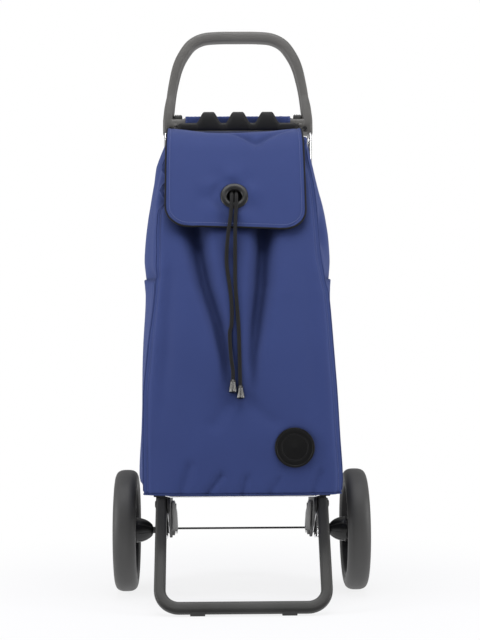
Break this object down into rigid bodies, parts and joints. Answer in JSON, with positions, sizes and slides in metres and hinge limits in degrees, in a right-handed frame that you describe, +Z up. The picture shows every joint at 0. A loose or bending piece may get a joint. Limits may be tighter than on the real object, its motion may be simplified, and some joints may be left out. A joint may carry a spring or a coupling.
{
  "type": "shopping trolley",
  "caption": "Upright shopping trolley with an arched handle, soft bag under a drawstring flap, a folding foot bar and side wheels.",
  "frame": {"origin": "middle of the footprint, on the floor", "axes": "+X to the right seen from the front, -Y the front where the foot bar stands, +Z up"},
  "size_m": [0.458, 0.4446, 1.0576],
  "materials": {
    "grey_plastic": "satin moulded",
    "black_plastic": "matte moulded",
    "light_grey_plastic": "satin moulded",
    "aluminium": "bright anodised",
    "steel": "zinc plated",
    "dark_paint": "satin paint",
    "tyre": "matte",
    "rubber": "matte",
    "bag_fabric": "woven polyester",
    "board": "matte sheet",
    "cord": "braided",
    "gunmetal": "dark plated"
  },
  "bodies": {
    "frame": {"axle_clip_left": "steel", "axle_clip_right": "steel", "axle_left": "steel", "axle_right": "steel", "badge": "black_plastic", "bag_body": "bag_fabric", "band_clip_left": "black_plastic", "band_clip_right": "black_plastic", "base_board": "board", "base_wire": "steel", "bracket_left": "black_plastic", "bracket_right": "black_plastic", "flap_root": "bag_fabric", "foot_pivot_pin_left": "steel", "foot_pivot_pin_right": "steel", "frame_tube_left": "aluminium", "frame_tube_right": "aluminium", "handle": "grey_plastic", "handle_screw_left": "black_plastic", "handle_screw_right": "black_plastic", "hanging_band": "bag_fabric", "hook_pin_left": "steel", "hook_pin_right": "steel", "latch_pin_left": "steel", "latch_pin_right": "steel", "latch_spring_left": "steel", "latch_spring_right": "steel", "rear_brace": "grey_plastic", "side_pocket_left": "bag_fabric", "side_pocket_right": "bag_fabric"},
    "left_wheel": {"tyre_left": "tyre", "rim_left": "black_plastic", "inner_bush_left": "light_grey_plastic", "outer_bush_left": "light_grey_plastic", "hub_dome_left": "black_plastic", "hub_cap_left": "black_plastic"},
    "right_wheel": {"tyre_right": "tyre", "rim_right": "black_plastic", "inner_bush_right": "light_grey_plastic", "outer_bush_right": "light_grey_plastic", "hub_dome_right": "black_plastic", "hub_cap_right": "black_plastic"},
    "foot": {"foot_tube": "dark_paint", "foot_pad_left": "rubber", "foot_pad_right": "rubber"},
    "release_latch": {"latch_rod": "dark_paint", "latch_lever_left": "light_grey_plastic", "latch_lever_right": "light_grey_plastic"},
    "hook": {"cart_hook": "black_plastic"},
    "flap_panel": {"flap": "bag_fabric", "flap_piping": "cord", "eyelet_front": "black_plastic", "eyelet_back": "black_plastic", "drawcord_left": "cord", "cord_tip_left": "gunmetal", "drawcord_right": "cord", "cord_tip_right": "gunmetal"}
  },
  "joints": [
    {"name": "left_wheel_spin", "type": "hinge", "parent": "frame", "child": "left_wheel", "pos_m": [-0.2085, 0.0252, 0.11], "axis": [1, 0, 0], "continuous": true},
    {"name": "right_wheel_spin", "type": "hinge", "parent": "frame", "child": "right_wheel", "pos_m": [0.2085, 0.0252, 0.11], "axis": [1, 0, 0], "continuous": true},
    {"name": "foot_fold", "type": "hinge", "parent": "frame", "child": "foot", "pos_m": [0, -0.0948, 0.172], "axis": [1, 0, 0], "range_deg": [0, 72]},
    {"name": "latch_release", "type": "hinge", "parent": "frame", "child": "release_latch", "pos_m": [0, -0.0498, 0.162], "axis": [-1, 0, 0], "range_deg": [0, 14], "stiffness_Nm_per_rad": 0.6, "springref_deg": -8.59},
    {"name": "hook_swing", "type": "hinge", "parent": "frame", "child": "hook", "pos_m": [0, 0.152, 0.866], "axis": [1, 0, 0], "range_deg": [0, 60]},
    {"name": "flap_open", "type": "hinge", "parent": "frame", "child": "flap_panel", "pos_m": [0, 0.1102, 0.8518], "axis": [-1, 0, 0], "range_deg": [0, 115]}
  ]
}
